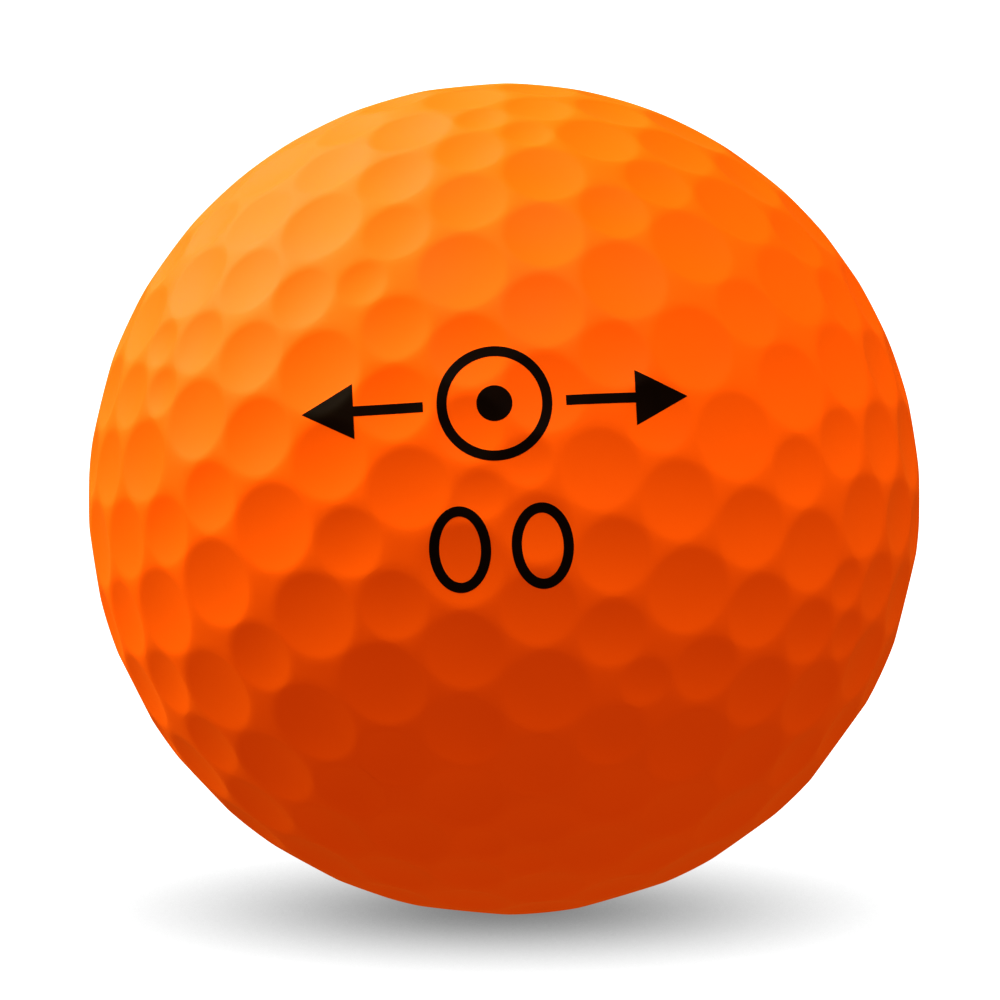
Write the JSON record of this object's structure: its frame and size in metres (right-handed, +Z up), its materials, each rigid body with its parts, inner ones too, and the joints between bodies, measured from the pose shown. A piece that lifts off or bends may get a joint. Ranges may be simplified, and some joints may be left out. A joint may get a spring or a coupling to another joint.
{
  "type": "golf ball",
  "caption": "Dimpled two-piece golf ball with an orange moulded cover, a solid core and dark printed marks.",
  "frame": {"origin": "centre of the ball", "axes": "+Z up as the ball is set down, the front print faces -Y and is tilted up by 10.8 degrees, +X to the right of the print"},
  "size_m": [0.0426, 0.0428, 0.0426],
  "materials": {
    "cover_orange": "matte painted ionomer, fluorescent orange",
    "core_rubber": "matte moulded rubber",
    "print_ink": "thin black pad-printing ink"
  },
  "bodies": {
    "root": {"core": "core_rubber", "cover": "cover_orange", "front_mark": "print_ink", "front_number": "print_ink", "back_mark": "print_ink", "back_number": "print_ink", "side_stamp": "print_ink"}
  },
  "joints": []
}
